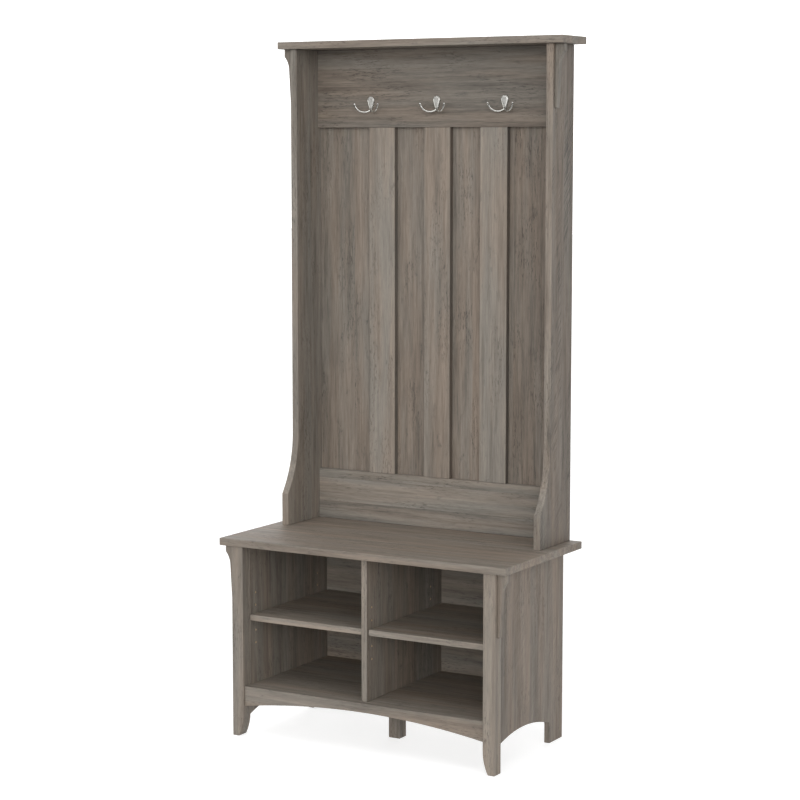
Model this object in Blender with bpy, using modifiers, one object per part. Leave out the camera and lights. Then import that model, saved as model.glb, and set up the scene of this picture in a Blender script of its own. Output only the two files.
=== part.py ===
"""Hall tree with hooks: a two-bay shoe bench with a slatted hutch standing on it.

Metres, +Z up. The front faces -Y, and the origin is on the floor under the middle
of the overall box. Boards that touch keep a clearance of GAP between their faces.
"""

import math

import bmesh
import bpy
from mathutils import Matrix, Vector

# Driving dimensions
OVERALL_HEIGHT = 1.730
TOP_WIDTH = 0.802  # cap and bench top
BENCH_DEPTH = 0.408
SEAT_HEIGHT = 0.500
CARCASS_WIDTH = 0.740  # over the front posts, and over the hutch sides
BOARD = 0.018  # cap, bench top and hutch sides
THIN_BOARD = 0.015  # everything else made of board
BACK_SHEET = 0.003
POST = 0.032  # square stock of the front posts and the centre foot
GAP = 0.0003

# Bench
TOP_FRONT_OVERHANG = 0.008
APRON_SETBACK = 0.006
FLOOR_SHELF_TOP = 0.127
APRON_ARCH_APEX = 0.1044
APRON_ARCH_END = 0.0766
DIVIDER_SETBACK = 0.023
SIDE_ARCH_APEX = 0.0766
SIDE_ARCH_END = 0.051
REAR_FOOT_LENGTH = 0.074
REAR_FOOT_FILLET = 0.009
REAR_FOOT_FILLET_TURN = math.radians(60)
REAR_FOOT_FILLET_RUNOUT = 0.004  # straight run from the fillet to the arch
POST_TAPER_HEIGHT = 0.057
POST_TAPER_INSET = 0.0137
CENTRE_FOOT_X = -0.0045
CENTRE_FOOT_FRONT = -0.020

# Adjustable shelves and the holes for their supports
SHELF_TOP = 0.3056
SHELF_SETBACK = 0.029
SHELF_SIDE_CLEARANCE = 0.002
SHELF_REAR_CLEARANCE = 0.0015
PIN_ROW_PITCH = 0.032
PIN_ROW_MIDDLE = 0.2933
PIN_ROWS_EACH_WAY = 2
PIN_HOLE_RADIUS = 0.0025
PIN_HOLE_DEPTH = 0.009
DIVIDER_HOLE_DEPTH = 0.0068
PIN_FRONT_COLUMN = -0.138
PIN_REAR_COLUMN = 0.153
DIVIDER_COLUMN_SHIFT = -0.0105  # keeps the holes of its two faces apart
PEG_RADIUS = 0.0022
SUPPORT_WIDTH = 0.010
SUPPORT_REACH = 0.010
SUPPORT_SHEET = 0.0012
SUPPORT_HEIGHT = 0.0098

# Hutch
CAP_DEPTH = 0.131
HUTCH_DEPTH = 0.118
HUTCH_FOOT_DEPTH = 0.169
HUTCH_KINK_HEIGHT = 0.0814  # above the bench top
HUTCH_SWEEP_TOP = 0.2355  # above the bench top
TOP_RAIL_HEIGHT = 0.1965
BOTTOM_RAIL_HEIGHT = 0.130
SLAT_WIDTH = 0.076
SLAT_PITCH = 0.160
BACK_SHEET_INSET = 0.0015

# Corbels, the same piece under the cap and under the bench top
CORBEL_HEIGHT = 0.153
CORBEL_PROJECTION = 0.025
CORBEL_SHOULDER = 0.018
CORBEL_COVE_END = 0.052
CORBEL_COVE_PROJECTION = 0.0115
CORBEL_TOE = 0.006
CORBEL_SETBACK = 0.0102

# Hooks
HOOK_HEIGHT = 1.577  # middle of the plate
HOOK_PITCH = 0.191
PLATE_TOP_RADIUS = 0.01025
PLATE_TOP_RISE = 0.00655
PLATE_FOOT_RADIUS = 0.0050
PLATE_FOOT_DROP = 0.0118
PLATE_THICKNESS = 0.003
ARM_RADIUS = 0.0022
ARM_SWEEP_RADIUS = 0.0250
ARM_START_ANGLE = math.radians(-41)
ARM_END_ANGLE = math.radians(78)
ARM_SPLAY = math.radians(57)  # from straight forward
ARM_TIP_RADIUS = 0.0028
KNUCKLE_RADIUS = 0.0027
SCREW_UP = 0.0088
SCREW_DOWN = -0.0112

# Fasteners
HOOK_SCREW_HEAD_RADIUS = 0.0021
HOOK_SCREW_HEAD_HEIGHT = 0.0012
HOOK_SCREW_SHANK_RADIUS = 0.0013
HOOK_SCREW_LENGTH = 0.012
DOWEL_RADIUS = 0.004
DOWEL_LENGTH = 0.030
DOWEL_IN_TOP = 0.010
CAP_DOWEL_ROWS = (0.110, 0.180)  # Y
SIDE_DOWEL_ROW = 0.120
HUTCH_SCREW_HEAD_RADIUS = 0.0045
HUTCH_SCREW_HEAD_HEIGHT = 0.003
HUTCH_SCREW_SHANK_RADIUS = 0.0025
HUTCH_SCREW_LENGTH = 0.050
HUTCH_SCREW_ROWS = (0.070, 0.170)  # Y
FOOT_BOLT_RADIUS = 0.003
FOOT_BOLT_LENGTH = 0.038
FOOT_BOLT_IN_SHELF = 0.011

EDGE_ROUND = 0.0008
BEVEL_ANGLE = math.radians(50)

# Planes that several parts share
REAR = BENCH_DEPTH / 2
FRONT = -BENCH_DEPTH / 2
BOARD_REAR = REAR - BACK_SHEET - GAP
POST_FRONT = FRONT + TOP_FRONT_OVERHANG
POST_REAR = POST_FRONT + POST
OUTER = CARCASS_WIDTH / 2
BAY_OUTER = OUTER - POST  # inner face of posts and bench sides
SEAT_UNDERSIDE = SEAT_HEIGHT - BOARD
CAP_UNDERSIDE = OVERALL_HEIGHT - BOARD
HUTCH_INNER = OUTER - BOARD
HUTCH_FRONT = REAR - HUTCH_DEPTH
RAIL_FRONT = BOARD_REAR - THIN_BOARD
FLOOR_SHELF_UNDERSIDE = FLOOR_SHELF_TOP - THIN_BOARD
APRON_FRONT = POST_FRONT + APRON_SETBACK
SHELF_UNDERSIDE = SHELF_TOP - THIN_BOARD

FACE_ACROSS_X = (math.radians(90), 0, math.radians(90))  # outline in Y, Z
FACE_ACROSS_Y = (math.radians(90), 0, 0)  # outline in X, Z
SIDES = (("left", -1), ("right", 1))

WOOD_TONES = {
    "top": (0.235, 0.205, 0.170),
    "upright": (0.215, 0.188, 0.155),
    "post": (0.265, 0.232, 0.192),
    "panel": (0.185, 0.160, 0.130),
    "shelf": (0.205, 0.180, 0.148),
    "dowel": (0.560, 0.420, 0.260),
}


# Scene, materials and collections

def clear_objects():
    for old in list(bpy.data.objects):
        bpy.data.objects.remove(old, do_unlink=True)


def new_collection(name):
    made = bpy.data.collections.new(name)
    bpy.context.scene.collection.children.link(made)
    return made


def material(part, colour, roughness, metallic=0.0):
    made = bpy.data.materials.new(part)
    made.use_nodes = True
    shader = made.node_tree.nodes["Principled BSDF"]
    shader.inputs["Base Color"].default_value = (*colour, 1.0)
    shader.inputs["Roughness"].default_value = roughness
    shader.inputs["Metallic"].default_value = metallic
    made.diffuse_color = (*colour, 1.0)
    return made


def laminate(part, tone):
    return material(part, WOOD_TONES[tone], 0.55)


def nickel(part):
    return material(part, (0.60, 0.59, 0.56), 0.28, 1.0)


def zinc(part):
    return material(part, (0.52, 0.51, 0.48), 0.38, 1.0)


# Making and placing meshes

def add_object(name, mesh, finish=None, cutter=False):
    made = bpy.data.objects.new(name, mesh)
    if cutter:
        CUTTERS.objects.link(made)
        made.hide_render = True
        made.display_type = "WIRE"
    else:
        PARTS.objects.link(made)
        mesh.materials.append(finish)
    return made


def mesh_of(bm, name):
    mesh = bpy.data.meshes.new(name)
    bm.to_mesh(mesh)
    bm.free()
    return mesh


def round_edges(part, width=EDGE_ROUND, segments=1):
    bevel = part.modifiers.new("rounded_edges", "BEVEL")
    bevel.width = width
    bevel.segments = segments
    bevel.limit_method = "ANGLE"
    bevel.angle_limit = BEVEL_ANGLE


def cut(part, cutter):
    boolean = part.modifiers.new("cut_" + cutter.name, "BOOLEAN")
    boolean.operation = "DIFFERENCE"
    boolean.solver = "EXACT"
    boolean.object = cutter


def join(part, addition):
    boolean = part.modifiers.new("join_" + addition.name, "BOOLEAN")
    boolean.operation = "UNION"
    boolean.solver = "EXACT"
    boolean.object = addition


def board(name, low, high, finish):
    """A rectangular board between two corners."""
    low, high = Vector(low), Vector(high)
    bm = bmesh.new()
    bmesh.ops.create_cube(bm, size=1.0)
    bmesh.ops.scale(bm, vec=high - low, verts=bm.verts)
    part = add_object(name, mesh_of(bm, name), finish)
    part.location = (low + high) / 2
    round_edges(part)
    return part


def curve_to_mesh(curve_object, name, finish, cutter=False):
    """A closed mesh object in place of a curve object."""
    graph = bpy.context.evaluated_depsgraph_get()
    graph.update()
    mesh = bpy.data.meshes.new_from_object(curve_object.evaluated_get(graph))
    bm = bmesh.new()
    bm.from_mesh(mesh)
    bmesh.ops.remove_doubles(bm, verts=bm.verts, dist=0.00001)
    bmesh.ops.dissolve_limit(bm, angle_limit=0.001, verts=bm.verts, edges=bm.edges)
    bm.to_mesh(mesh)
    bm.free()
    mesh.name = name
    mesh.materials.clear()
    part = add_object(name, mesh, finish, cutter)
    part.matrix_world = curve_object.matrix_world.copy()
    bpy.data.objects.remove(curve_object, do_unlink=True)
    return part


def outline_curve(points, thickness):
    """A flat closed outline, extruded equally to both sides of its plane."""
    flat = bpy.data.curves.new("outline", "CURVE")
    flat.dimensions = "2D"
    flat.fill_mode = "BOTH"
    flat.extrude = thickness / 2
    spline = flat.splines.new("POLY")
    spline.points.add(len(points) - 1)
    for slot, (across, up) in zip(spline.points, points):
        slot.co = (across, up, 0, 1)
    spline.use_cyclic_u = True
    made = bpy.data.objects.new("outline", flat)
    bpy.context.scene.collection.objects.link(made)
    return made


def shaped_board(name, points, thickness, facing, place, finish):
    """A board sawn to an outline; facing turns the outline's plane, place moves it."""
    drawn = outline_curve(points, thickness)
    drawn.rotation_euler = facing
    drawn.location = place
    bpy.context.view_layer.update()
    part = curve_to_mesh(drawn, name, finish)
    round_edges(part)
    return part


def rod(bm, start, end, radius, sides):
    """Adds a closed cylinder between two points."""
    start, end = Vector(start), Vector(end)
    turn = Vector((0, 0, 1)).rotation_difference(end - start).to_matrix().to_4x4()
    place = Matrix.Translation((start + end) / 2) @ turn
    bmesh.ops.create_cone(
        bm,
        cap_ends=True,
        segments=sides,
        radius1=radius,
        radius2=radius,
        depth=(end - start).length,
        matrix=place,
    )


def drill(part, name, holes, radius, sides=12):
    """Cuts round holes, each given by its two ends."""
    bm = bmesh.new()
    for start, end in holes:
        rod(bm, start, end, radius, sides)
    cut(part, add_object(name, mesh_of(bm, name), cutter=True))


def arc(centre, radius, start, end, count):
    """Points along a circular arc, both ends included."""
    steps = [start + (end - start) * i / count for i in range(count + 1)]
    return [
        (centre[0] + radius * math.cos(a), centre[1] + radius * math.sin(a)) for a in steps
    ]


def sweep(tangent_end, other_end, count):
    """An arc from a point where it runs vertically to another point, both included."""
    across = other_end[0] - tangent_end[0]
    down = other_end[1] - tangent_end[1]
    radius = (across**2 + down**2) / (2 * abs(across))
    turn = math.asin(abs(down) / radius)
    points = []
    for i in range(count + 1):
        a = turn * i / count
        aside = math.copysign(radius * (1 - math.cos(a)), across)
        along = math.copysign(radius * math.sin(a), down)
        points.append((tangent_end[0] + aside, tangent_end[1] + along))
    return points


def arch(half_span, end_height, apex_height, count):
    """A circular arch over a span centred on zero, from its right end to its left."""
    rise = apex_height - end_height
    radius = (half_span**2 + rise**2) / (2 * rise)
    reach = math.asin(half_span / radius)
    middle = math.pi / 2
    return arc((0, apex_height - radius), radius, middle - reach, middle + reach, count)


# Bench

def make_bench_top():
    part = board(
        "bench_top",
        (-TOP_WIDTH / 2, FRONT, SEAT_UNDERSIDE),
        (TOP_WIDTH / 2, REAR, SEAT_HEIGHT),
        laminate("bench_top", "top"),
    )
    holes = [
        ((x, y, SEAT_UNDERSIDE - GAP), (x, y, SEAT_HEIGHT + GAP))
        for x, y in hutch_screw_places()
    ]
    drill(part, "hutch_screw_clearance", holes, HUTCH_SCREW_SHANK_RADIUS + GAP)
    sockets = [
        ((x, y, SEAT_UNDERSIDE - GAP), (x, y, SEAT_UNDERSIDE + DOWEL_IN_TOP + GAP))
        for x, y in bench_dowel_places()
    ]
    drill(part, "bench_top_sockets", sockets, DOWEL_RADIUS + GAP)


def make_front_post(name, side):
    top = SEAT_UNDERSIDE - GAP
    inner, outer = BAY_OUTER, OUTER
    taper = sweep((inner, POST_TAPER_HEIGHT), (inner + POST_TAPER_INSET, 0), 8)
    points = [(outer, 0), (outer, top), (inner, top)] + taper
    if side < 0:
        points = [(-x, z) for x, z in reversed(points)]
    part = shaped_board(
        "front_post_" + name,
        points,
        POST,
        FACE_ACROSS_Y,
        (0, POST_FRONT + POST / 2, 0),
        laminate("front_post_" + name, "post"),
    )
    x, y = post_dowel_place(side)
    socket = ((x, y, top + GAP), (x, y, top - (DOWEL_LENGTH - DOWEL_IN_TOP) - GAP))
    drill(part, "post_socket_" + name, [socket], DOWEL_RADIUS + GAP)


def side_outline():
    """Bench side seen from the right: front and rear edges, arch and rear foot."""
    front, rear = POST_REAR + GAP, BOARD_REAR
    foot = REAR - REAR_FOOT_LENGTH
    top = SEAT_UNDERSIDE - GAP
    half_span = (foot - front) / 2
    middle = (foot + front) / 2
    arched = [(middle + y, z) for y, z in arch(half_span, SIDE_ARCH_END, SIDE_ARCH_APEX, 20)]
    spring = (foot - REAR_FOOT_FILLET, SIDE_ARCH_END - REAR_FOOT_FILLET / 2)
    fillet = arc(spring, REAR_FOOT_FILLET, 0, REAR_FOOT_FILLET_TURN, 5)
    runout = fillet[-1][0] - REAR_FOOT_FILLET_RUNOUT
    clear_of_fillet = [point for point in arched if point[0] < runout]
    corners = [(front, top), (rear, top), (rear, 0), (foot, 0)]
    return corners + fillet + clear_of_fillet


def make_bench_side(name, side):
    part = shaped_board(
        "bench_side_" + name,
        side_outline(),
        THIN_BOARD,
        FACE_ACROSS_X,
        (side * (BAY_OUTER + THIN_BOARD / 2), 0, 0),
        laminate("bench_side_" + name, "upright"),
    )
    face = side * BAY_OUTER
    depth = side * PIN_HOLE_DEPTH
    holes = pin_holes(face, depth, (PIN_FRONT_COLUMN, PIN_REAR_COLUMN))
    drill(part, "side_pin_holes_" + name, holes, PIN_HOLE_RADIUS)
    x, y = side_dowel_place(side)
    top = SEAT_UNDERSIDE - GAP
    socket = ((x, y, top + GAP), (x, y, top - (DOWEL_LENGTH - DOWEL_IN_TOP) - GAP))
    drill(part, "side_socket_" + name, [socket], DOWEL_RADIUS + GAP)


def pin_holes(face, depth, columns):
    """The rows of blind holes drilled from a face at X = face, to a signed depth."""
    holes = []
    for y in columns:
        for row in range(-PIN_ROWS_EACH_WAY, PIN_ROWS_EACH_WAY + 1):
            z = PIN_ROW_MIDDLE + row * PIN_ROW_PITCH
            holes.append(((face - math.copysign(GAP, depth), y, z), (face + depth, y, z)))
    return holes


def divider_columns(bay):
    """Y of the front and rear hole columns on the divider's face towards a bay."""
    shift = DIVIDER_COLUMN_SHIFT if bay > 0 else 0
    return (PIN_FRONT_COLUMN + shift, PIN_REAR_COLUMN + shift)


def make_divider():
    part = board(
        "divider",
        (-THIN_BOARD / 2, POST_FRONT + DIVIDER_SETBACK, FLOOR_SHELF_TOP + GAP),
        (THIN_BOARD / 2, BOARD_REAR, SEAT_UNDERSIDE - GAP),
        laminate("divider", "upright"),
    )
    for name, bay in SIDES:
        face = bay * THIN_BOARD / 2
        holes = pin_holes(face, -bay * DIVIDER_HOLE_DEPTH, divider_columns(bay))
        drill(part, "divider_pin_holes_" + name, holes, PIN_HOLE_RADIUS)


def make_front_apron():
    reach = BAY_OUTER - GAP
    arched = arch(reach, APRON_ARCH_END, APRON_ARCH_APEX, 28)
    points = [(-reach, FLOOR_SHELF_TOP), (reach, FLOOR_SHELF_TOP)] + arched
    shaped_board(
        "front_apron",
        points[::-1],
        THIN_BOARD,
        FACE_ACROSS_Y,
        (0, APRON_FRONT + THIN_BOARD / 2, 0),
        laminate("front_apron", "post"),
    )


def make_floor_shelf():
    part = board(
        "bottom_shelf",
        (-BAY_OUTER + GAP, APRON_FRONT + THIN_BOARD + GAP, FLOOR_SHELF_UNDERSIDE),
        (BAY_OUTER - GAP, BOARD_REAR, FLOOR_SHELF_TOP),
        laminate("bottom_shelf", "shelf"),
    )
    x, y = centre_foot_axis()
    hole = (
        (x, y, FLOOR_SHELF_UNDERSIDE - GAP),
        (x, y, FLOOR_SHELF_UNDERSIDE + FOOT_BOLT_IN_SHELF + GAP),
    )
    drill(part, "floor_shelf_insert", [hole], FOOT_BOLT_RADIUS + GAP)


def centre_foot_axis():
    return CENTRE_FOOT_X, CENTRE_FOOT_FRONT + POST / 2


def make_centre_foot():
    x, y = centre_foot_axis()
    top = FLOOR_SHELF_UNDERSIDE - GAP
    part = board(
        "centre_foot",
        (x - POST / 2, y - POST / 2, 0),
        (x + POST / 2, y + POST / 2, top),
        laminate("centre_foot", "post"),
    )
    depth = FOOT_BOLT_LENGTH - FOOT_BOLT_IN_SHELF
    hole = ((x, y, top + GAP), (x, y, top - depth - GAP))
    drill(part, "centre_foot_hole", [hole], FOOT_BOLT_RADIUS + GAP)
    bm = bmesh.new()
    rod(bm, (x, y, top - depth), (x, y, top - depth + FOOT_BOLT_LENGTH), FOOT_BOLT_RADIUS, 12)
    smooth(add_object("centre_foot_bolt", mesh_of(bm, "centre_foot_bolt"), zinc("centre_foot_bolt")))


def make_bench_back():
    edge = BAY_OUTER + THIN_BOARD - BACK_SHEET_INSET
    board(
        "bench_back_panel",
        (-edge, REAR - BACK_SHEET, FLOOR_SHELF_UNDERSIDE),
        (edge, REAR, SEAT_UNDERSIDE - GAP),
        laminate("bench_back_panel", "panel"),
    )


# Adjustable shelves

def make_shelf(name, side):
    """Its origin is the middle of its front edge, from where it slides out."""
    near = THIN_BOARD / 2 + SHELF_SIDE_CLEARANCE
    far = BAY_OUTER - SHELF_SIDE_CLEARANCE
    front = POST_FRONT + SHELF_SETBACK
    rear = BOARD_REAR - SHELF_REAR_CLEARANCE
    bm = bmesh.new()
    size = (far - near, rear - front, THIN_BOARD)
    bmesh.ops.create_cube(bm, size=1.0)
    bmesh.ops.scale(bm, vec=size, verts=bm.verts)
    bmesh.ops.translate(bm, vec=(0, size[1] / 2, 0), verts=bm.verts)
    title = "shelf_" + name
    part = add_object(title, mesh_of(bm, title), laminate(title, "shelf"))
    part.location = (side * (near + far) / 2, front, SHELF_TOP - THIN_BOARD / 2)
    round_edges(part)


def make_shelf_support(name, face, inward, y):
    """An L-shaped steel support: peg in the hole, plate on the face, ledge under the shelf."""
    ledge_top = SHELF_UNDERSIDE - GAP
    ledge_low = ledge_top - SUPPORT_SHEET
    near = face + inward * GAP
    half = SUPPORT_WIDTH / 2
    plate = box_mesh(
        (near, y - half, ledge_low),
        (near + inward * SUPPORT_SHEET, y + half, ledge_low + SUPPORT_HEIGHT),
        name,
    )
    ledge = box_mesh(
        (near, y - half, ledge_low),
        (near + inward * SUPPORT_REACH, y + half, ledge_top),
        name + "_ledge",
    )
    bm = bmesh.new()
    reach = DIVIDER_HOLE_DEPTH - 2 * GAP
    inner = near + inward * SUPPORT_SHEET / 2
    rod(bm, (inner, y, PIN_ROW_MIDDLE), (face - inward * reach, y, PIN_ROW_MIDDLE), PEG_RADIUS, 10)
    part = add_object(name, plate, zinc(name))
    join(part, add_object(name + "_ledge", ledge, cutter=True))
    join(part, add_object(name + "_peg", mesh_of(bm, name + "_peg"), cutter=True))


def box_mesh(a, b, name):
    """A box mesh between two opposite corners, given in any order."""
    low = Vector(min(p, q) for p, q in zip(a, b))
    high = Vector(max(p, q) for p, q in zip(a, b))
    bm = bmesh.new()
    bmesh.ops.create_cube(bm, size=1.0)
    bmesh.ops.scale(bm, vec=high - low, verts=bm.verts)
    bmesh.ops.translate(bm, vec=(low + high) / 2, verts=bm.verts)
    return mesh_of(bm, name)


def make_shelf_supports():
    for name, side in SIDES:
        columns = (PIN_FRONT_COLUMN, PIN_REAR_COLUMN)
        for place, outer_y, divider_y in zip(("front", "rear"), columns, divider_columns(side)):
            title = f"shelf_support_{name}_bay_"
            make_shelf_support(title + "outer_" + place, side * BAY_OUTER, -side, outer_y)
            make_shelf_support(title + "inner_" + place, side * THIN_BOARD / 2, side, divider_y)


# Hutch

def make_cap():
    part = board(
        "cap_board",
        (-TOP_WIDTH / 2, REAR - CAP_DEPTH, CAP_UNDERSIDE),
        (TOP_WIDTH / 2, REAR, OVERALL_HEIGHT),
        laminate("cap_board", "top"),
    )
    holes = [
        ((x, y, CAP_UNDERSIDE - GAP), (x, y, CAP_UNDERSIDE + DOWEL_IN_TOP + GAP))
        for x, y in cap_dowel_places()
    ]
    drill(part, "cap_sockets", holes, DOWEL_RADIUS + GAP)


def hutch_side_outline():
    """Hutch side seen from the right: a narrow upright that sweeps out to a deeper foot."""
    low, top = SEAT_HEIGHT + GAP, CAP_UNDERSIDE - GAP
    foot_front = REAR - HUTCH_FOOT_DEPTH
    sweep_top = (HUTCH_FRONT, SEAT_HEIGHT + HUTCH_SWEEP_TOP)
    kink = (foot_front, SEAT_HEIGHT + HUTCH_KINK_HEIGHT)
    return (
        [(BOARD_REAR, low), (BOARD_REAR, top), (HUTCH_FRONT, top)]
        + sweep(sweep_top, kink, 14)
        + [(foot_front, low)]
    )


def make_hutch_side(name, side):
    part = shaped_board(
        "hutch_side_" + name,
        hutch_side_outline(),
        BOARD,
        FACE_ACROSS_X,
        (side * (OUTER - BOARD / 2), 0, 0),
        laminate("hutch_side_" + name, "upright"),
    )
    top = CAP_UNDERSIDE - GAP
    low = SEAT_HEIGHT + GAP
    in_side = DOWEL_LENGTH - DOWEL_IN_TOP
    sockets = [
        ((x, y, top + GAP), (x, y, top - in_side - GAP))
        for x, y in cap_dowel_places()
        if x * side > 0
    ]
    drill(part, "hutch_sockets_" + name, sockets, DOWEL_RADIUS + GAP)
    in_foot = HUTCH_SCREW_LENGTH - BOARD
    pilots = [
        ((x, y, low - GAP), (x, y, low + in_foot + GAP))
        for x, y in hutch_screw_places()
        if x * side > 0
    ]
    drill(part, "hutch_pilots_" + name, pilots, HUTCH_SCREW_SHANK_RADIUS + GAP)


def make_rails():
    reach = HUTCH_INNER - GAP
    top_rail_low = CAP_UNDERSIDE - TOP_RAIL_HEIGHT
    top_rail = board(
        "top_rail",
        (-reach, RAIL_FRONT, top_rail_low),
        (reach, BOARD_REAR, CAP_UNDERSIDE - GAP),
        laminate("top_rail", "top"),
    )
    pilots = [
        ((x, RAIL_FRONT - GAP, HOOK_HEIGHT + z), (x, RAIL_FRONT + HOOK_SCREW_LENGTH, HOOK_HEIGHT + z))
        for x in hook_places().values()
        for z in (SCREW_UP, SCREW_DOWN)
    ]
    drill(top_rail, "hook_pilots", pilots, HOOK_SCREW_SHANK_RADIUS + GAP, sides=10)
    board(
        "bottom_rail",
        (-reach, RAIL_FRONT, SEAT_HEIGHT + GAP),
        (reach, BOARD_REAR, SEAT_HEIGHT + BOTTOM_RAIL_HEIGHT),
        laminate("bottom_rail", "top"),
    )
    for name, x in (("left", -SLAT_PITCH), ("centre", 0), ("right", SLAT_PITCH)):
        board(
            "slat_" + name,
            (x - SLAT_WIDTH / 2, RAIL_FRONT, SEAT_HEIGHT + BOTTOM_RAIL_HEIGHT + GAP),
            (x + SLAT_WIDTH / 2, BOARD_REAR, top_rail_low - GAP),
            laminate("slat_" + name, "upright"),
        )


def make_hutch_back():
    edge = OUTER - BACK_SHEET_INSET
    board(
        "hutch_back_panel",
        (-edge, REAR - BACK_SHEET, SEAT_HEIGHT + GAP),
        (edge, REAR, CAP_UNDERSIDE - GAP),
        laminate("hutch_back_panel", "panel"),
    )


def make_corbel(name, side, root, top, front):
    """A bracket on a face at X = root, with its top under a board and a coved underside."""
    cove = sweep((CORBEL_COVE_PROJECTION, -CORBEL_COVE_END), (CORBEL_PROJECTION, -CORBEL_SHOULDER), 10)
    points = [(GAP, 0), (GAP, -CORBEL_HEIGHT), (CORBEL_TOE, -CORBEL_HEIGHT)]
    points += cove + [(CORBEL_PROJECTION, 0)]
    if side < 0:
        points = [(-x, z) for x, z in reversed(points)]
    shaped_board(
        name,
        points,
        THIN_BOARD,
        FACE_ACROSS_Y,
        (side * root, front + THIN_BOARD / 2, top - GAP),
        laminate(name, "post"),
    )


# Hooks

def hook_places():
    return {"left": -HOOK_PITCH, "centre": 0.0, "right": HOOK_PITCH}


def plate_outline():
    """A teardrop: a wide round top and a narrow round foot with straight tangents."""
    spread = PLATE_TOP_RISE + PLATE_FOOT_DROP
    lean = math.asin((PLATE_TOP_RADIUS - PLATE_FOOT_RADIUS) / spread)
    crown = arc((0, PLATE_TOP_RISE), PLATE_TOP_RADIUS, -lean, math.pi + lean, 18)
    foot = arc((0, -PLATE_FOOT_DROP), PLATE_FOOT_RADIUS, math.pi + lean, 2 * math.pi - lean, 9)
    return crown + foot


def arm_points(splay, count=10):
    """Centre line of one arm: an upcurving arc in a vertical plane turned out by splay."""
    outward = Vector((math.sin(splay), -math.cos(splay), 0))
    start = Vector((0, -PLATE_THICKNESS, -PLATE_FOOT_DROP - PLATE_FOOT_RADIUS))
    low = ARM_SWEEP_RADIUS * math.cos(ARM_START_ANGLE)
    points = []
    for i in range(count + 1):
        a = ARM_START_ANGLE + (ARM_END_ANGLE - ARM_START_ANGLE) * i / count
        out = ARM_SWEEP_RADIUS * (math.sin(a) - math.sin(ARM_START_ANGLE))
        up = low - ARM_SWEEP_RADIUS * math.cos(a)
        points.append(start + outward * out + Vector((0, 0, up)))
    return points


def hook_arms(name, place):
    """Both arms as one round bar from tip to tip."""
    bar = bpy.data.curves.new(name, "CURVE")
    bar.dimensions = "3D"
    bar.bevel_depth = ARM_RADIUS
    bar.bevel_resolution = 2
    bar.use_fill_caps = True
    spline = bar.splines.new("POLY")
    route = arm_points(-ARM_SPLAY)[::-1] + arm_points(ARM_SPLAY)[1:]
    spline.points.add(len(route) - 1)
    for slot, point in zip(spline.points, route):
        slot.co = (*point, 1)
    made = bpy.data.objects.new(name, bar)
    bpy.context.scene.collection.objects.link(made)
    made.location = place
    bpy.context.view_layer.update()
    return curve_to_mesh(made, name, None, cutter=True)


def ball(name, centre, radius, place):
    bm = bmesh.new()
    bmesh.ops.create_uvsphere(bm, u_segments=12, v_segments=8, radius=radius)
    bmesh.ops.translate(bm, vec=centre, verts=bm.verts)
    made = add_object(name, mesh_of(bm, name), cutter=True)
    made.location = place
    return made


def smooth(part):
    part.data.shade_smooth()
    part.data.set_sharp_from_angle(angle=math.radians(40))


def make_hook(name, x):
    place = Vector((x, RAIL_FRONT - GAP, HOOK_HEIGHT))
    title = "hook_" + name
    drawn = outline_curve(plate_outline(), PLATE_THICKNESS)
    drawn.rotation_euler = FACE_ACROSS_Y
    drawn.location = place - Vector((0, PLATE_THICKNESS / 2, 0))
    bpy.context.view_layer.update()
    part = curve_to_mesh(drawn, title, nickel(title))
    round_edges(part, PLATE_THICKNESS / 4)
    knuckle = arm_points(0)[0]
    join(part, ball(title + "_knuckle", knuckle, KNUCKLE_RADIUS, place))
    join(part, hook_arms(title + "_arms", place))
    for end, splay in (("left", -ARM_SPLAY), ("right", ARM_SPLAY)):
        join(part, ball(f"{title}_tip_{end}", arm_points(splay)[-1], ARM_TIP_RADIUS, place))
    holes = [
        ((x, place.y + GAP, HOOK_HEIGHT + z), (x, place.y - PLATE_THICKNESS - GAP, HOOK_HEIGHT + z))
        for z in (SCREW_UP, SCREW_DOWN)
    ]
    drill(part, title + "_screw_holes", holes, HOOK_SCREW_SHANK_RADIUS + GAP, sides=10)
    smooth(part)


def turned(name, rings, sides, place, facing, finish):
    """A turned piece from (radius, height) rings, widest end first, by a Screw modifier."""
    mesh = bpy.data.meshes.new(name)
    points = [(radius, 0, height) for radius, height in rings]
    mesh.from_pydata(points, [(i, i + 1) for i in range(len(points) - 1)], [])
    part = add_object(name, mesh, finish)
    part.location = place
    part.rotation_euler = facing
    spin = part.modifiers.new("turned", "SCREW")
    spin.steps = sides
    spin.render_steps = sides
    spin.use_merge_vertices = True
    spin.merge_threshold = 0.00001
    spin.use_smooth_shade = True
    return part


def pan_screw(name, place, facing, head_radius, head_height, shank_radius, length, finish, sides=12):
    """A screw along its own Z, its seat at the origin and its domed head above that."""
    shoulder, rim = 0.6 * head_radius, 0.35 * head_height
    rings = [
        (0, head_height),
        (shoulder, 0.9 * head_height),
        (head_radius, rim),
        (head_radius, 0),
        (shank_radius, 0),
        (shank_radius, -length + 2 * shank_radius),
        (0, -length),
    ]
    turned(name, rings, sides, place, facing, finish)


def make_hook_screws():
    facing = (math.radians(90), 0, 0)
    for name, x in hook_places().items():
        for level, z in (("upper", SCREW_UP), ("lower", SCREW_DOWN)):
            title = f"hook_screw_{name}_{level}"
            seat = (x, RAIL_FRONT - GAP - PLATE_THICKNESS - GAP, HOOK_HEIGHT + z)
            pan_screw(
                title,
                seat,
                facing,
                HOOK_SCREW_HEAD_RADIUS,
                HOOK_SCREW_HEAD_HEIGHT,
                HOOK_SCREW_SHANK_RADIUS,
                HOOK_SCREW_LENGTH,
                nickel(title),
            )


# Joints between the big pieces

def hutch_screw_places():
    x = OUTER - BOARD / 2
    return [(side * x, y) for side in (-1, 1) for y in HUTCH_SCREW_ROWS]


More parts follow.
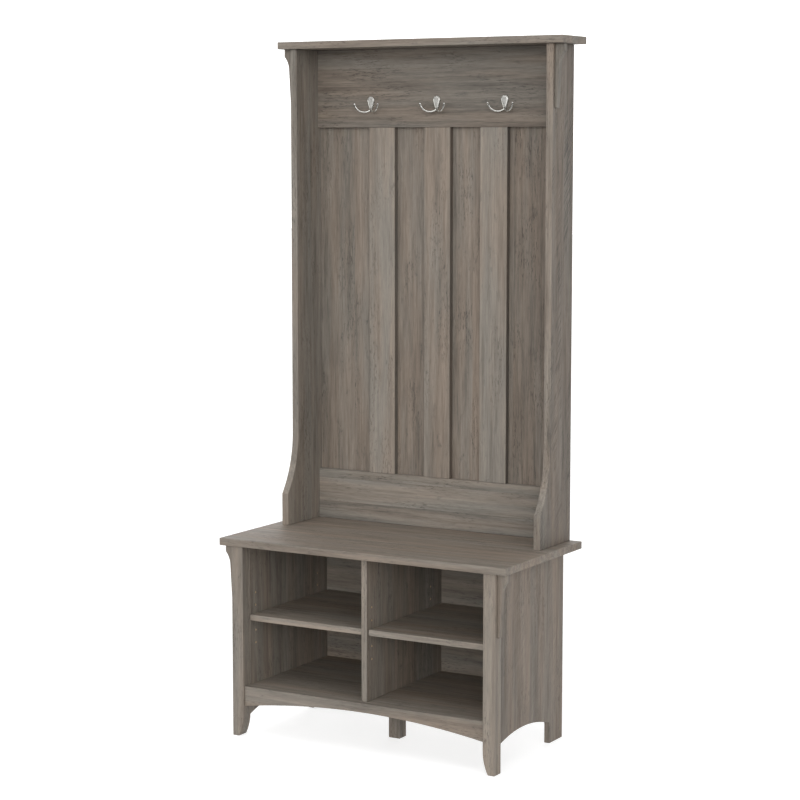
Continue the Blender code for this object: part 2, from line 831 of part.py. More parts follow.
def cap_dowel_places():
    x = OUTER - BOARD / 2
    return [(side * x, y) for side in (-1, 1) for y in CAP_DOWEL_ROWS]


def post_dowel_place(side):
    return side * (OUTER - POST / 2), POST_FRONT + POST / 2


def side_dowel_place(side):
    return side * (BAY_OUTER + THIN_BOARD / 2), SIDE_DOWEL_ROW


def bench_dowel_places():
    return [place(side) for place in (post_dowel_place, side_dowel_place) for side in (-1, 1)]


def make_dowel(name, x, y, board_underside):
    top = board_underside + DOWEL_IN_TOP
    bm = bmesh.new()
    rod(bm, (x, y, top), (x, y, top - DOWEL_LENGTH), DOWEL_RADIUS, 14)
    part = add_object(name, mesh_of(bm, name), laminate(name, "dowel"))
    round_edges(part)
    smooth(part)


def make_dowels():
    names = ("left_front", "left_rear", "right_front", "right_rear")
    for name, (x, y) in zip(names, cap_dowel_places()):
        make_dowel("cap_dowel_" + name, x, y, CAP_UNDERSIDE)
    names = ("post_left", "post_right", "side_left", "side_right")
    for name, (x, y) in zip(names, bench_dowel_places()):
        make_dowel("bench_dowel_" + name, x, y, SEAT_UNDERSIDE)


def make_hutch_screws():
    facing = (math.radians(180), 0, 0)
    names = ("left_front", "left_rear", "right_front", "right_rear")
    for name, (x, y) in zip(names, hutch_screw_places()):
        title = "hutch_screw_" + name
        pan_screw(
            title,
            (x, y, SEAT_UNDERSIDE - GAP),
            facing,
            HUTCH_SCREW_HEAD_RADIUS,
            HUTCH_SCREW_HEAD_HEIGHT,
            HUTCH_SCREW_SHANK_RADIUS,
            HUTCH_SCREW_LENGTH,
            zinc(title),
        )


def make_bench():
    make_bench_top()
    for name, side in SIDES:
        make_front_post(name, side)
        make_bench_side(name, side)
        front = POST_FRONT + CORBEL_SETBACK
        make_corbel("bench_corbel_" + name, side, OUTER, SEAT_UNDERSIDE, front)
    make_divider()
    make_front_apron()
    make_floor_shelf()
    make_centre_foot()
    make_bench_back()
    for name, side in SIDES:
        make_shelf(name, side)
    make_shelf_supports()


def make_hutch():
    make_cap()
    for name, side in SIDES:
        make_hutch_side(name, side)
        front = HUTCH_FRONT + CORBEL_SETBACK
        make_corbel("hutch_corbel_" + name, side, OUTER, CAP_UNDERSIDE, front)
    make_rails()
    make_hutch_back()
    for name, x in hook_places().items():
        make_hook(name, x)
    make_hook_screws()


clear_objects()
PARTS = new_collection("hall_tree")
CUTTERS = new_collection("cutters")
make_bench()
make_hutch()
make_dowels()
make_hutch_screws()
bpy.context.view_layer.update()
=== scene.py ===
"""Looks of a hall tree: weathered driftwood laminate, satin nickel coat hooks, studio light.

Metres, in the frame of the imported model: +Z up, the front faces -Y, +X to the right.
"""

import math

import bmesh
import bpy
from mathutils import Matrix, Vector


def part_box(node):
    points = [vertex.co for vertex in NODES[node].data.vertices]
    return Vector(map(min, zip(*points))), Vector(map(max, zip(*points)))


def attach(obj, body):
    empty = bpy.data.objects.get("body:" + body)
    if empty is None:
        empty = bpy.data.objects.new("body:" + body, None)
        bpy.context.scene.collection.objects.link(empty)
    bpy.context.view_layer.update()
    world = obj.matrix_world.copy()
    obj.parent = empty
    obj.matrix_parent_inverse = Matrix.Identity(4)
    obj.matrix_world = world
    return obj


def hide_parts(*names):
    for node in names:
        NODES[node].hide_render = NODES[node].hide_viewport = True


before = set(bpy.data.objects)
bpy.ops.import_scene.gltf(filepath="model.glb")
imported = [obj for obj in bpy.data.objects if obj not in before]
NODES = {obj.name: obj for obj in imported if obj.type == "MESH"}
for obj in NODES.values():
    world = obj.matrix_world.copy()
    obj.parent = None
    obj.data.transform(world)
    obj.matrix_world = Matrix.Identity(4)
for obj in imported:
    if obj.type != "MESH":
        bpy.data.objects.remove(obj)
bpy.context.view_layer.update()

X, Y, Z = 0, 1, 2

# Linear colours: the two tones of the laminate's print, then the other materials
WARM = (0.242, 0.192, 0.150)
COOL = (0.209, 0.195, 0.170)
RAW_BOARD = (0.42, 0.31, 0.20)
NICKEL = (0.74, 0.73, 0.69)
ZINC = (0.55, 0.54, 0.52)
BEECH = (0.56, 0.42, 0.26)

# How the grain and the breadth of a board lie
LEVEL = dict(grain=X, across=Y)
RAIL = dict(grain=X, across=Z)
UPRIGHT = dict(grain=Z, across=X)
SIDE = dict(grain=Z, across=Y)

# Painted shade on a slat's side edges: their tone as a share of its face's
SLAT_EDGE_PAINTED_SHADE = 0.48

# The line between two printed planks: full up to the first distance from it, gone at the second
SEAM_CORE = 0.0003
SEAM_REACH = 0.0016

# Saw marks: how far they slant, and their frequency along, through and across the board
SAW_SLANT = 1.25
SAW_FREQUENCY = (230.0, 20.0, 34.0)

# Places of the shelf-support holes, which show raw board inside
PIN_ROWS = 5
PIN_ROW_PITCH = 0.032
PIN_ROW_MIDDLE = 0.2933
PIN_MASK_RADIUS = 0.0025 * 1.08
PIN_COLUMNS = (-0.138, 0.153)
SHIFTED_PIN_COLUMNS = (-0.1485, 0.1425)  # right face of the divider, clear of the holes in its left
SIDE_INNER_FACE = 0.338
SIDE_HOLE_REACH = 0.0095
DIVIDER_FACE = 0.0075
DIVIDER_HOLE_REACH = 0.0072

# Shape of the hooks
HOOK_HEIGHT = 1.577
PLATE_THICKNESS = 0.003
PLATE_TOP_RADIUS = 0.01025
PLATE_TOP_RISE = 0.00655
PLATE_FOOT_RADIUS = 0.0050
PLATE_FOOT_DROP = 0.0118
ARM_RADIUS = 0.0025
ARM_SWEEP_RADIUS = 0.0250
ARM_START = math.radians(-41)
ARM_END = math.radians(78)
ARM_SPLAY = math.radians(57)
ARM_TIP_RADIUS = 0.0031
ARM_TIP_STEPS = 7
KNUCKLE_RADIUS = 0.0027
SHARP_ANGLE = math.radians(50)
PLATE_PROFILE = [  # inset from the outline, height above the rail
    (0.0000, 0.0),
    (0.0000, 0.0013),
    (0.0002, 0.0021),
    (0.0007, 0.0027),
    (0.0014, 0.0030),
    (0.0020, 0.0027),
    (0.0024, 0.0021),
    (0.0029, 0.0021),
    (0.0036, 0.0024),
    (0.0048, 0.0026),
]

# Studio
FLOOR_REACH = 30.0
BOUNCE_HEIGHT = -0.002
ROOM_REACH = 28.0
ROOM_FLOOR = -0.5
ROOM_CEILING = 40.0
WORLD_STRENGTH = 0.21
LAMP_SPREAD = math.radians(40)
WHITE = (1.0, 1.0, 1.0, 1.0)

# Camera
CAMERA_SENSOR = 36.0
CAMERA_LENS = 99.52
CAMERA_PLACE = (2.7100, -4.6764, 1.4753)
CAMERA_TILT = -0.1155
CAMERA_TURN = 0.5251


# Node helpers

class Tree:
    """A material's nodes, made by short calls that return output sockets."""

    def __init__(self, name):
        self.material = bpy.data.materials.new(name)
        self.material.use_nodes = True
        self.tree = self.material.node_tree
        self.shader = self.tree.nodes["Principled BSDF"]
        coordinates = self.tree.nodes.new("ShaderNodeTexCoord")
        self.place = coordinates.outputs["Object"]
        self.facing = coordinates.outputs["Normal"]

    def put(self, value, socket):
        """Link a socket, or set a plain value."""
        if isinstance(value, bpy.types.NodeSocket):
            self.tree.links.new(value, socket)
        else:
            socket.default_value = value

    def math(self, operation, a, b=0.0, clamp=False):
        node = self.tree.nodes.new("ShaderNodeMath")
        node.operation = operation
        node.use_clamp = clamp
        self.put(a, node.inputs[0])
        self.put(b, node.inputs[1])
        return node.outputs[0]

    def split(self, vector):
        node = self.tree.nodes.new("ShaderNodeSeparateXYZ")
        self.put(vector, node.inputs[0])
        return list(node.outputs)

    def merge(self, x, y, z):
        node = self.tree.nodes.new("ShaderNodeCombineXYZ")
        for value, socket in zip((x, y, z), node.inputs):
            self.put(value, socket)
        return node.outputs[0]

    def noise(self, vector, stretch, shift, detail=2.0, roughness=0.5, warp=0.0):
        """Noise in space that is first stretched and shifted."""
        place = self.tree.nodes.new("ShaderNodeMapping")
        place.inputs["Location"].default_value = shift
        place.inputs["Scale"].default_value = stretch
        self.put(vector, place.inputs["Vector"])
        node = self.tree.nodes.new("ShaderNodeTexNoise")
        node.inputs["Scale"].default_value = 1.0
        node.inputs["Detail"].default_value = detail
        node.inputs["Roughness"].default_value = roughness
        node.inputs["Distortion"].default_value = warp
        self.put(place.outputs[0], node.inputs["Vector"])
        return node.outputs["Fac"]

    def random(self, value):
        """A fixed random number from 0 to 1 for each value."""
        node = self.tree.nodes.new("ShaderNodeTexWhiteNoise")
        node.noise_dimensions = "1D"
        self.put(value, node.inputs["W"])
        return node.outputs["Value"]

    def rescale(self, value, low, high, to_low, to_high):
        """Carry low to high over to to_low to to_high, smoothly and clamped."""
        node = self.tree.nodes.new("ShaderNodeMapRange")
        node.clamp = True
        node.interpolation_type = "SMOOTHSTEP"
        for given, socket in zip((value, low, high, to_low, to_high), node.inputs):
            self.put(given, socket)
        return node.outputs[0]

    def mix(self, factor, a, b):
        node = self.tree.nodes.new("ShaderNodeMix")
        node.data_type = "RGBA"
        self.put(factor, node.inputs["Factor"])
        self.put(a, node.inputs["A"])
        self.put(b, node.inputs["B"])
        return node.outputs["Result"]

    def brighten(self, colour, amount):
        node = self.tree.nodes.new("ShaderNodeVectorMath")
        node.operation = "SCALE"
        self.put(colour, node.inputs[0])
        self.put(amount, node.inputs["Scale"])
        return node.outputs[0]

    def bump(self, height, strength, distance):
        node = self.tree.nodes.new("ShaderNodeBump")
        node.inputs["Strength"].default_value = strength
        node.inputs["Distance"].default_value = distance
        self.put(height, node.inputs["Height"])
        self.put(node.outputs[0], self.shader.inputs["Normal"])


# Materials

def pin_hole_mask(tree, inner_face, columns, depth):
    """1 inside the shelf-support holes drilled from the face at X = inner_face."""
    x, y, z = tree.split(tree.place)
    rows = tree.math("DIVIDE", tree.math("SUBTRACT", z, PIN_ROW_MIDDLE), PIN_ROW_PITCH)
    off_row = tree.math("SUBTRACT", rows, tree.math("ROUND", rows))
    off_row = tree.math("MULTIPLY", off_row, PIN_ROW_PITCH)
    within = tree.math("LESS_THAN", tree.math("ABSOLUTE", rows), PIN_ROWS / 2)
    off_face = tree.math("ABSOLUTE", tree.math("SUBTRACT", x, inner_face))
    deep = tree.math("LESS_THAN", off_face, depth)
    found = None
    for column in columns:
        off_column = tree.math("SUBTRACT", y, column)
        squares = tree.math(
            "ADD",
            tree.math("MULTIPLY", off_row, off_row),
            tree.math("MULTIPLY", off_column, off_column),
        )
        near = tree.math("LESS_THAN", tree.math("SQRT", squares), PIN_MASK_RADIUS)
        found = near if found is None else tree.math("MAXIMUM", found, near)
    return tree.math("MULTIPLY", found, tree.math("MULTIPLY", within, deep))


def laminate(
    name,
    seed,
    grain,
    across,
    tone=1.0,
    cool=0.5,
    plank=0.0,
    plank_shift=0.0,
    holes=(),
    edge_light_and_shade=1.0,
    seam_tone=0.94,
    saw=0.0,
):
    """Printed driftwood.

    grain and across are axis numbers, and tone and cool set how light and how cool the print is.
    plank is the width of a printed plank and seam_tone the shade of the lines between planks.
    The edge tone scales the edges that face the across axis, as painted light above 1 and painted shade
    below 1, and saw is the depth of the saw marks.
    """
    tree = Tree(name)
    axes = tree.split(tree.place)
    thick = 3 - grain - across
    along, over = axes[grain], axes[across]
    tone_shift, cool_shift = 0.0, 0.0
    seam = None
    if plank:
        steps = tree.math("DIVIDE", tree.math("ADD", over, plank_shift), plank)
        number = tree.math("FLOOR", steps)
        pick = tree.random(tree.math("ADD", number, seed * 1.7))
        again = tree.random(tree.math("ADD", number, seed * 3.1 + 40.5))
        tone_shift = tree.rescale(pick, 0.0, 1.0, -0.06, 0.06)
        cool_shift = tree.rescale(again, 0.0, 1.0, -0.10, 0.10)
        along = tree.math("ADD", along, tree.math("MULTIPLY", pick, 3.0))
        off_seam = tree.math("ABSOLUTE", tree.math("SUBTRACT", steps, tree.math("ROUND", steps)))
        off_seam = tree.math("MULTIPLY", off_seam, plank)
        seam = tree.rescale(off_seam, SEAM_CORE, SEAM_REACH, seam_tone, 1.0)
    spot = tree.merge(over, axes[thick], along)
    shift = (seed * 1.37, seed * 2.11, seed * 0.73)

    def layer(width, length, step, **more):
        """Noise with blotches of about this size, each layer a step away from the others."""
        stretch = (1 / width, 1 / width, 1 / length)
        return tree.noise(spot, stretch, tuple(s + step for s in shift), **more)

    bands = layer(width=0.034, length=1.1, step=3.0, detail=3.0)
    smears = layer(width=0.013, length=0.24, step=17.0, detail=4.0, roughness=0.6, warp=0.3)
    streaks = layer(width=0.0050, length=0.13, step=11.0, detail=4.0, roughness=0.65, warp=0.2)
    fibres = layer(width=0.0013, length=0.030, step=23.0, detail=2.0)
    cast = layer(width=0.040, length=0.45, step=31.0, detail=3.0)
    patches = layer(width=0.050, length=0.20, step=71.0, detail=3.0)
    pores = layer(width=0.0024, length=0.017, step=83.0, detail=3.0, roughness=0.65, warp=0.4)
    smudges = layer(width=0.016, length=0.048, step=47.0, detail=4.0, roughness=0.65, warp=0.5)
    flecks = layer(width=0.0034, length=0.012, step=59.0, detail=2.0, roughness=0.6)

    value = tree.math("ADD", tone, tone_shift)
    for figure, low, high, darkest, lightest in (
        (bands, 0.30, 0.70, -0.09, 0.09),
        (smears, 0.28, 0.66, -0.16, 0.08),
        (streaks, 0.30, 0.70, -0.11, 0.08),
        (fibres, 0.25, 0.75, -0.10, 0.08),
    ):
        value = tree.math("ADD", value, tree.rescale(figure, low, high, darkest, lightest))
    worn = tree.rescale(patches, 0.47, 0.62, 0.12, 1.0)
    specks = tree.math("MULTIPLY", worn, tree.rescale(pores, 0.52, 0.66, 0.0, 0.50))
    value = tree.math("MULTIPLY", value, tree.math("SUBTRACT", 1.0, specks))
    knots = tree.math(
        "MULTIPLY",
        tree.rescale(smudges, 0.57, 0.76, 0.0, 1.0),
        tree.rescale(flecks, 0.38, 0.62, 0.35, 1.0),
    )
    value = tree.math("MULTIPLY", value, tree.math("SUBTRACT", 1.0, tree.math("MULTIPLY", knots, 0.40)))
    on_edge = tree.math("GREATER_THAN", tree.math("ABSOLUTE", tree.split(tree.facing)[across]), 0.7)
    if saw:
        slant = tree.math("SUBTRACT", along, tree.math("MULTIPLY", over, SAW_SLANT))
        cuts = tree.noise(tree.merge(slant, axes[thick], over), SAW_FREQUENCY, shift, detail=2.0)
        zone = tree.rescale(
            layer(width=0.035, length=0.38, step=97.0, detail=2.0), 0.44, 0.58, 0.10, 1.0
        )
        marks = tree.math("MULTIPLY", zone, tree.rescale(cuts, 0.47, 0.60, 0.0, saw))
        marks = tree.math("MULTIPLY", marks, tree.math("SUBTRACT", 1.0, on_edge))
        value = tree.math("MULTIPLY", value, tree.math("SUBTRACT", 1.0, marks))
    # Painted light and shade on the edges that face the across axis
    if edge_light_and_shade != 1.0:
        change = tree.math("MULTIPLY", on_edge, 1.0 - edge_light_and_shade)
        value = tree.math("MULTIPLY", value, tree.math("SUBTRACT", 1.0, change))
    if seam is not None:
        value = tree.math("MULTIPLY", value, seam)
    hue = tree.math("ADD", tree.rescale(cast, 0.34, 0.66, cool - 0.26, cool + 0.26), cool_shift)
    hue = tree.math("ADD", hue, tree.math("MULTIPLY", knots, 0.3), clamp=True)
    colour = tree.brighten(tree.mix(hue, (*WARM, 1.0), (*COOL, 1.0)), value)
    for mask_of in holes:
        colour = tree.mix(mask_of(tree), colour, (*RAW_BOARD, 1.0))
    tree.put(colour, tree.shader.inputs["Base Color"])
    tree.put(tree.rescale(streaks, 0.3, 0.7, 0.64, 0.52), tree.shader.inputs["Roughness"])
    tree.shader.inputs["Specular IOR Level"].default_value = 0.28
    relief = tree.math("ADD", tree.math("MULTIPLY", fibres, 0.5), tree.math("MULTIPLY", streaks, 0.5))
    tree.bump(relief, 0.35, 0.0004)
    return tree.material


def metal(name, colour, roughness, brushing, wall=None):
    """Plated metal, faintly brushed and uneven. Close to a wall at Y = wall it is darker: painted shade
    for the shadow at the plate's edge by the rail.
    """
    tree = Tree(name)
    fine = tree.noise(tree.place, (900, 900, 4200), (0, 0, 0), detail=2.0)
    patches = tree.noise(tree.place, (140, 140, 140), (5, 5, 5), detail=3.0)
    shade = tree.rescale(patches, 0.3, 0.7, 0.90, 1.06)
    if wall is not None:
        # Painted shade: the metal darkens within a few millimetres of the wall, standing for the shadow
        # and dark reflection at the plate's edge
        off_wall = tree.math("SUBTRACT", wall, tree.split(tree.place)[1])
        shade = tree.math("MULTIPLY", shade, tree.rescale(off_wall, 0.0012, 0.0024, 0.28, 1.0))
    tree.put(tree.brighten(colour, shade), tree.shader.inputs["Base Color"])
    tree.put(
        tree.rescale(fine, 0.3, 0.7, roughness - brushing, roughness + brushing),
        tree.shader.inputs["Roughness"],
    )
    tree.shader.inputs["Metallic"].default_value = 1.0
    tree.bump(fine, 0.15, 0.00005)
    return tree.material


def beech(name):
    """Pale turned wood with the grain upright."""
    tree = Tree(name)
    rings = tree.noise(tree.place, (700, 700, 60), (3, 1, 2), detail=3.0)
    shade = tree.rescale(rings, 0.3, 0.7, 0.82, 1.08)
    tree.put(tree.brighten(BEECH, shade), tree.shader.inputs["Base Color"])
    tree.put(tree.rescale(rings, 0.3, 0.7, 0.62, 0.5), tree.shader.inputs["Roughness"])
    return tree.material


def dress_boards():
    """Every board gets a print of its own, its grain along the board."""

    def side_holes(side):
        face = side * SIDE_INNER_FACE
        return [lambda tree: pin_hole_mask(tree, face, PIN_COLUMNS, SIDE_HOLE_REACH)]

    divider_holes = [
        lambda tree: pin_hole_mask(tree, -DIVIDER_FACE, PIN_COLUMNS, DIVIDER_HOLE_REACH),
        lambda tree: pin_hole_mask(tree, DIVIDER_FACE, SHIFTED_PIN_COLUMNS, DIVIDER_HOLE_REACH),
    ]
    # Edge tones above 1 are painted light on the front and back edges of the hutch sides and the
    # divider
    boards = {
        "cap_board": dict(LEVEL, seed=1.0, tone=0.88),
        "top_rail": dict(
            RAIL, seed=2.0, tone=0.65, cool=0.35, plank=0.118, plank_shift=0.035, seam_tone=0.88
        ),
        "bottom_rail": dict(
            RAIL, seed=3.0, tone=0.86, cool=0.6, plank=0.062, plank_shift=0.012, seam_tone=0.84
        ),
        # The slats' side edges get painted shade, standing for the shadow on their sides
        "slat_left": dict(UPRIGHT, seed=4.0, tone=0.97, cool=0.5, edge_light_and_shade=SLAT_EDGE_PAINTED_SHADE),
        "slat_centre": dict(UPRIGHT, seed=5.0, tone=0.87, cool=0.35, edge_light_and_shade=SLAT_EDGE_PAINTED_SHADE),
        "slat_right": dict(UPRIGHT, seed=6.0, tone=1.00, cool=0.5, edge_light_and_shade=SLAT_EDGE_PAINTED_SHADE),
        "hutch_back_panel": dict(
            UPRIGHT, seed=7.0, tone=0.77, cool=0.35, plank=0.115, plank_shift=0.02
        ),
        "hutch_side_left": dict(
            SIDE, seed=8.0, tone=0.79, cool=0.6, plank=0.085, plank_shift=0.02, edge_light_and_shade=1.06
        ),
        "hutch_side_right": dict(
            SIDE,
            seed=9.0,
            tone=0.68,
            cool=0.35,
            plank=0.080,
            plank_shift=0.01,
            edge_light_and_shade=1.24,
            saw=0.42,
        ),
        "hutch_corbel_left": dict(UPRIGHT, seed=10.0, tone=0.80),
        "hutch_corbel_right": dict(UPRIGHT, seed=11.0, tone=0.72),
        "bench_corbel_left": dict(UPRIGHT, seed=12.0, tone=0.91),
        "bench_corbel_right": dict(UPRIGHT, seed=13.0, tone=0.90),
        "bench_top": dict(
            LEVEL, seed=14.0, tone=0.90, cool=0.35, plank=0.130, plank_shift=0.03, seam_tone=0.80
        ),
        "front_post_left": dict(UPRIGHT, seed=15.0, tone=0.93, cool=0.5),
        "front_post_right": dict(UPRIGHT, seed=16.0, tone=1.00, cool=0.5),
        "bench_side_left": dict(
            SIDE, seed=17.0, tone=0.83, cool=0.4, plank=0.11, plank_shift=0.03, holes=side_holes(-1)
        ),
        "bench_side_right": dict(
            SIDE,
            seed=18.0,
            tone=0.78,
            cool=0.22,
            plank=0.105,
            plank_shift=0.0,
            saw=0.16,
            holes=side_holes(1),
        ),
        "divider": dict(
            SIDE,
            seed=19.0,
            tone=0.88,
            cool=0.5,
            plank=0.12,
            plank_shift=0.05,
            edge_light_and_shade=1.22,
            holes=divider_holes,
        ),
        "front_apron": dict(RAIL, seed=20.0, tone=0.89, cool=0.4),
        "bottom_shelf": dict(LEVEL, seed=21.0, tone=1.00, cool=0.4, plank=0.12, plank_shift=0.01),
        "bench_back_panel": dict(RAIL, seed=22.0, tone=0.90, cool=0.6, plank=0.13, plank_shift=0.02),
        # The shelves' tones sit above most boards: partly print, partly painted light to lift them in
        # the shaded bays
        "shelf_left": dict(LEVEL, seed=23.0, tone=1.05, cool=0.4, plank=0.12, plank_shift=0.05),
        "shelf_right": dict(LEVEL, seed=24.0, tone=1.08, cool=0.5, plank=0.12, plank_shift=0.03),
        "centre_foot": dict(UPRIGHT, seed=25.0, tone=0.80, cool=0.45),
    }
    for name, facts in boards.items():
        dress(name, laminate("laminate_" + name, **facts))


def dress(name, finish):
    """Give one of the CAD's own pieces its only material."""
    part = NODES[name]
    part.data.materials.clear()
    part.data.materials.append(finish)


def dress_hardware():
    """Supports, screws, the bolt and the dowels."""
    zinc = metal("bright_zinc", ZINC, roughness=0.36, brushing=0.06)
    nickel = metal("nickel_screw", NICKEL, roughness=0.26, brushing=0.05)
    wood = beech("beech_dowel")
    for name in NODES:
        if name.startswith(("shelf_support", "hutch_screw")) or name == "centre_foot_bolt":
            dress(name, zinc)
        elif name.startswith("hook_screw"):
            dress(name, nickel)
        elif "dowel" in name:
            dress(name, wood)


# Coat hooks, modelled finer than the CAD's

def arc(centre, radius, start, end, count):
    """Points of a flat arc, with count steps."""
    steps = [start + (end - start) * i / count for i in range(count + 1)]
    return [(centre[0] + radius * math.cos(a), centre[1] + radius * math.sin(a)) for a in steps]


def plate_outline(inset):
    """The teardrop of the plate, pulled in by inset."""
    top, foot = PLATE_TOP_RADIUS - inset, PLATE_FOOT_RADIUS - inset
    lean = math.asin((top - foot) / (PLATE_TOP_RISE + PLATE_FOOT_DROP))
    crown = arc((0, PLATE_TOP_RISE), top, -lean, math.pi + lean, 36)
    return crown + arc((0, -PLATE_FOOT_DROP), foot, math.pi + lean, 2 * math.pi - lean, 18)


def make_plate(name, place, finish):
    """A cast plate: rounded outer edge, a thin raised rim, a groove and a faintly crowned field."""
    bm = bmesh.new()
    loops = []
    for inset, height in PLATE_PROFILE:
        outline = plate_outline(inset)
        loops.append([bm.verts.new((place.x + x, place.y - height, place.z + z)) for x, z in outline])
    join_loops(bm, loops)
    bm.faces.new(loops[-1])
    bm.faces.new(loops[0][::-1])
    return finished(bm, name, finish)


def join_loops(bm, loops):
    """A band of faces between each loop and the next."""
    for low, high in zip(loops, loops[1:]):
        for i in range(len(low)):
            j = (i + 1) % len(low)
            bm.faces.new((low[i], low[j], high[j], high[i]))


def arm_route(splay, count=36):
    """Middle line of a prong, from the foot of the plate outward and up."""
    outward = Vector((math.sin(splay), -math.cos(splay), 0))
    start = Vector((0, -PLATE_THICKNESS, -PLATE_FOOT_DROP - PLATE_FOOT_RADIUS))
    low = ARM_SWEEP_RADIUS * math.cos(ARM_START)
    route = []
    for i in range(count + 1):
        a = ARM_START + (ARM_END - ARM_START) * i / count
        out = ARM_SWEEP_RADIUS * (math.sin(a) - math.sin(ARM_START))
        up = low - ARM_SWEEP_RADIUS * math.cos(a)
        route.append(start + outward * out + Vector((0, 0, up)))
    return route


def make_arm(name, splay, place, finish):
    """A tapering round prong that swells to a rounded end."""
    route = arm_route(splay)
    last = len(route) - 1
    bm = bmesh.new()
    side = Vector((math.cos(splay), math.sin(splay), 0))
    loops = []
    tip_length = ARM_TIP_RADIUS * 1.6
    lengths = [0.0]
    for a, b in zip(route, route[1:]):
        lengths.append(lengths[-1] + (b - a).length)
    for i, point in enumerate(route):
        ahead = (route[min(i + 1, last)] - route[max(i - 1, 0)]).normalized()
        up = side.cross(ahead)
        left = lengths[-1] - lengths[i]
        radius = ARM_RADIUS * (1.08 - 0.16 * i / last)
        if left < tip_length:
            radius += (ARM_TIP_RADIUS - radius) * math.sin(math.pi / 2 * (1 - left / tip_length))
        loops.append(ring(bm, point + place, side, up, radius))
    ahead = (route[-1] - route[-2]).normalized()
    up = side.cross(ahead)
    for step in range(1, ARM_TIP_STEPS):
        a = math.pi / 2 * step / ARM_TIP_STEPS
        centre = route[-1] + place + ahead * ARM_TIP_RADIUS * math.sin(a)
        loops.append(ring(bm, centre, side, up, ARM_TIP_RADIUS * math.cos(a)))
    join_loops(bm, loops)
    bm.faces.new(loops[0][::-1])
    bm.faces.new(loops[-1])
    return finished(bm, name, finish)


def ring(bm, centre, side, up, radius, count=24):
    """New vertices in a circle across a prong."""
    turns = [2 * math.pi * i / count for i in range(count)]
    return [bm.verts.new(centre + radius * (side * math.cos(a) + up * math.sin(a))) for a in turns]


def make_knuckle(name, place, finish):
    """The rounded lump where the two prongs leave the foot of the plate."""
    bm = bmesh.new()
    bmesh.ops.create_uvsphere(bm, u_segments=32, v_segments=20, radius=KNUCKLE_RADIUS)
    bmesh.ops.translate(bm, vec=place + arm_route(0)[0], verts=bm.verts)
    return finished(bm, name, finish)


def finished(bm, name, finish):
    """The mesh as an object in the scene, smooth but for its sharp edges."""
    bmesh.ops.recalc_face_normals(bm, faces=bm.faces)
    mesh = bpy.data.meshes.new(name)
    bm.to_mesh(mesh)
    bm.free()
    mesh.materials.append(finish)
    mesh.shade_smooth()
    mesh.set_sharp_from_angle(angle=SHARP_ANGLE)
    made = bpy.data.objects.new(name, mesh)
    bpy.context.scene.collection.objects.link(made)
    return made


def make_hooks():
    """Each hook is a plate, two prongs and a knuckle, in place of the CAD's hook."""
    rail_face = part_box("hook_centre")[1][1]
    # The plate's edge next to the rail face gets painted shade
    finish = metal("satin_nickel", NICKEL, roughness=0.18, brushing=0.04, wall=rail_face)
    for name in ("left", "centre", "right"):
        node = "hook_" + name
        low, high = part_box(node)
        place = Vector(((low[0] + high[0]) / 2, high[1], HOOK_HEIGHT))
        plate = make_plate(node + "_plate", place, finish)
        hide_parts(node)
        pieces = [
            plate,
            make_arm(node + "_prong_left", -ARM_SPLAY, place, finish),
            make_arm(node + "_prong_right", ARM_SPLAY, place, finish),
            make_knuckle(node + "_knuckle", place, finish),
        ]
        for piece in pieces:
            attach(piece, "carcass")


# Studio

def plain(name, tone, glow):
    """A matt neutral finish, faintly uneven, that may also glow."""
    tree = Tree(name)
    cloud = tree.noise(tree.place, (3, 3, 3), (0, 0, 0), detail=2.0)
    shade = tree.rescale(cloud, 0.3, 0.7, 0.99, 1.0)
    tree.put(tree.brighten((tone, tone, tone), shade), tree.shader.inputs["Base Color"])
    tree.shader.inputs["Roughness"].default_value = 0.9
    tree.shader.inputs["Specular IOR Level"].default_value = 0.1
    tree.shader.inputs["Emission Color"].default_value = WHITE
    tree.shader.inputs["Emission Strength"].default_value = glow
    return tree.material


def staged(name, corners, faces, finish, seen_by):
    """A piece of the studio, present only to the kinds of ray it is named for."""
    mesh = bpy.data.meshes.new(name)
    mesh.from_pydata(corners, [], faces)
    mesh.materials.append(finish)
    made = bpy.data.objects.new(name, mesh)
    made.visible_camera = "camera" in seen_by
    made.visible_glossy = "glossy" in seen_by
    made.visible_diffuse = "diffuse" in seen_by
    made.visible_shadow = "shadow" in seen_by
    made.visible_transmission = "camera" in seen_by
    bpy.context.scene.collection.objects.link(made)


def square(reach, height):
    """Corners of a level square."""
    around = [(-1, -1), (1, -1), (1, 1), (-1, 1)]
    return [(x * reach, y * reach, height) for x, y in around]


def make_floor():
    """A white floor that is looked at, and just under it a dimmer one that throws light back up."""
    white = plain("white_floor", tone=0.50, glow=0.72)
    staged("studio_floor", square(FLOOR_REACH, 0.0), [(0, 1, 2, 3)], white, ("camera", "glossy"))
    dim = plain("bounce_floor", tone=0.55, glow=0.10)
    corners = square(FLOOR_REACH, BOUNCE_HEIGHT)
    staged("studio_bounce", corners, [(0, 1, 2, 3)], dim, ("diffuse", "shadow"))


def make_backdrop():
    """A white room all round that is looked at and reflected but lights nothing."""
    corners = square(ROOM_REACH, ROOM_FLOOR) + square(ROOM_REACH, ROOM_CEILING)
    faces = [(0, 1, 5, 4), (1, 2, 6, 5), (2, 3, 7, 6), (3, 0, 4, 7), (4, 5, 6, 7)]
    white = plain("white_backdrop", tone=0.50, glow=1.0)
    staged("studio_backdrop", corners, faces, white, ("camera", "glossy"))


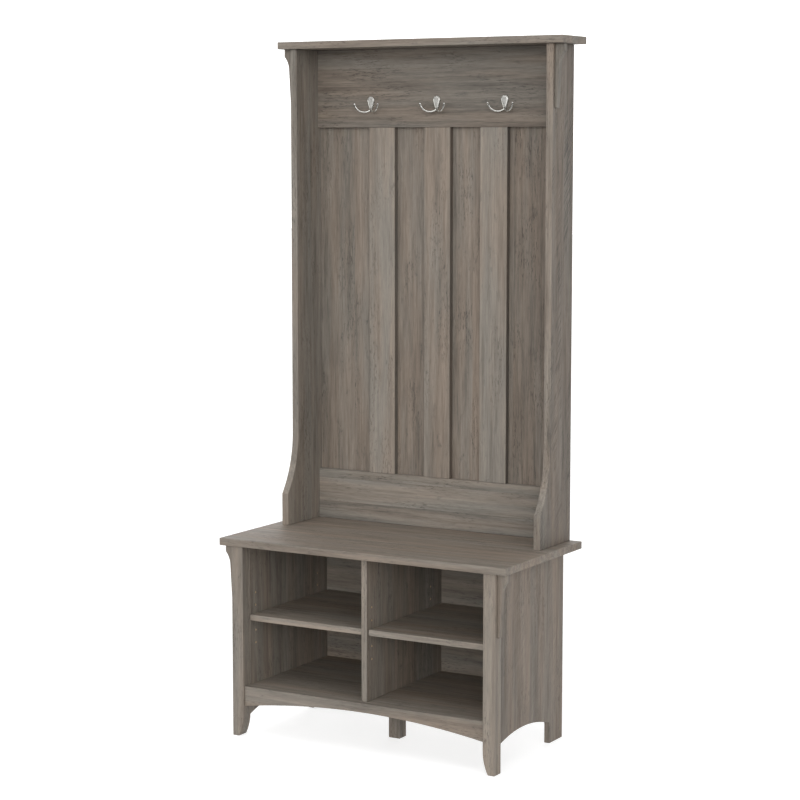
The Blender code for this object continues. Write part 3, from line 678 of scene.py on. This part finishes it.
def sun(name, azimuth, elevation, strength):
    """Even light from a soft source far away. Azimuth 0 is in front, 90 at the right."""
    light = bpy.data.lights.new(name, "SUN")
    light.energy = strength
    light.angle = LAMP_SPREAD
    made = bpy.data.objects.new(name, light)
    a, e = math.radians(azimuth), math.radians(elevation)
    towards = Vector((math.sin(a) * math.cos(e), -math.cos(a) * math.cos(e), math.sin(e)))
    made.rotation_euler = (-towards).to_track_quat("-Z", "Y").to_euler()
    bpy.context.scene.collection.objects.link(made)


def make_cards():
    """Cards seen only in reflections, to shade the metal: dark low in front, grey at the left."""
    low = [(-7.0, -9.0, 0.05), (9.0, -9.0, 0.05), (9.0, -0.9, 0.05), (-7.0, -0.9, 0.05)]
    left = [(-6.2, -2.6, 0.1), (-0.9, -6.4, 0.1), (-0.9, -6.4, 4.2), (-6.2, -2.6, 4.2)]
    dark = plain("dark_card", tone=0.04, glow=0.0)
    staged("studio_card_low", low, [(0, 1, 2, 3)], dark, ("glossy",))
    grey = plain("grey_card", tone=0.20, glow=0.40)
    staged("studio_card_left", left, [(0, 1, 2, 3)], grey, ("glossy",))


def make_studio():
    """A dim even world, six soft suns, the floors, the white room and the cards."""
    world = bpy.data.worlds.new("studio")
    world.use_nodes = True
    background = world.node_tree.nodes["Background"]
    background.inputs["Color"].default_value = WHITE
    background.inputs["Strength"].default_value = WORLD_STRENGTH
    bpy.context.scene.world = world
    bpy.context.scene.view_settings.view_transform = "Standard"
    make_floor()
    make_backdrop()
    sun("key_light", azimuth=22, elevation=8, strength=1.87)
    sun("side_light", azimuth=60, elevation=15, strength=1.02)
    sun("top_light", azimuth=0, elevation=70, strength=0.86)
    sun("fill_light", azimuth=-24, elevation=16, strength=0.47)
    sun("left_light", azimuth=-105, elevation=15, strength=1.10)
    sun("back_light", azimuth=-165, elevation=22, strength=1.10)
    make_cards()


def make_camera():
    """A long lens from the front right, tilted down a little."""
    camera = bpy.data.objects.new("camera", bpy.data.cameras.new("camera"))
    camera.data.sensor_width = CAMERA_SENSOR
    camera.data.lens = CAMERA_LENS
    camera.location = CAMERA_PLACE
    camera.rotation_euler = (math.pi / 2 + CAMERA_TILT, 0.0, CAMERA_TURN)
    bpy.context.scene.collection.objects.link(camera)
    bpy.context.scene.camera = camera


make_camera()
make_studio()
dress_boards()
dress_hardware()
make_hooks()
